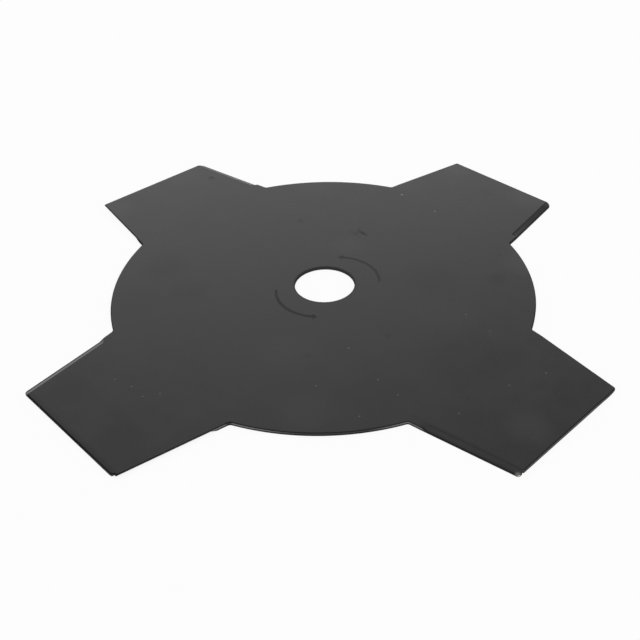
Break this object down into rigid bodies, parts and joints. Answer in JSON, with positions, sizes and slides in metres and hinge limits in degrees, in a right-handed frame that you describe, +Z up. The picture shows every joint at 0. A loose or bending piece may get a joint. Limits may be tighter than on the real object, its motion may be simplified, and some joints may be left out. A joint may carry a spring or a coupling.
{
  "type": "lawn edger blade",
  "caption": "Flat steel rotary edger blade: a round disc with a central bore and wide tapered teeth, each ground along both sides.",
  "frame": {"origin": "centre of the bore on the underside of the blade", "axes": "+Z up through the thickness, along the bore; X and Y each run midway between two teeth, which point at 45, 135, 225 and 315 degrees"},
  "size_m": [0.2164, 0.2164, 0.0014],
  "materials": {
    "black_coated_steel": "semi-gloss black coat over stamped and ground spring steel"
  },
  "bodies": {
    "root": {"blade": "black_coated_steel"}
  },
  "joints": []
}
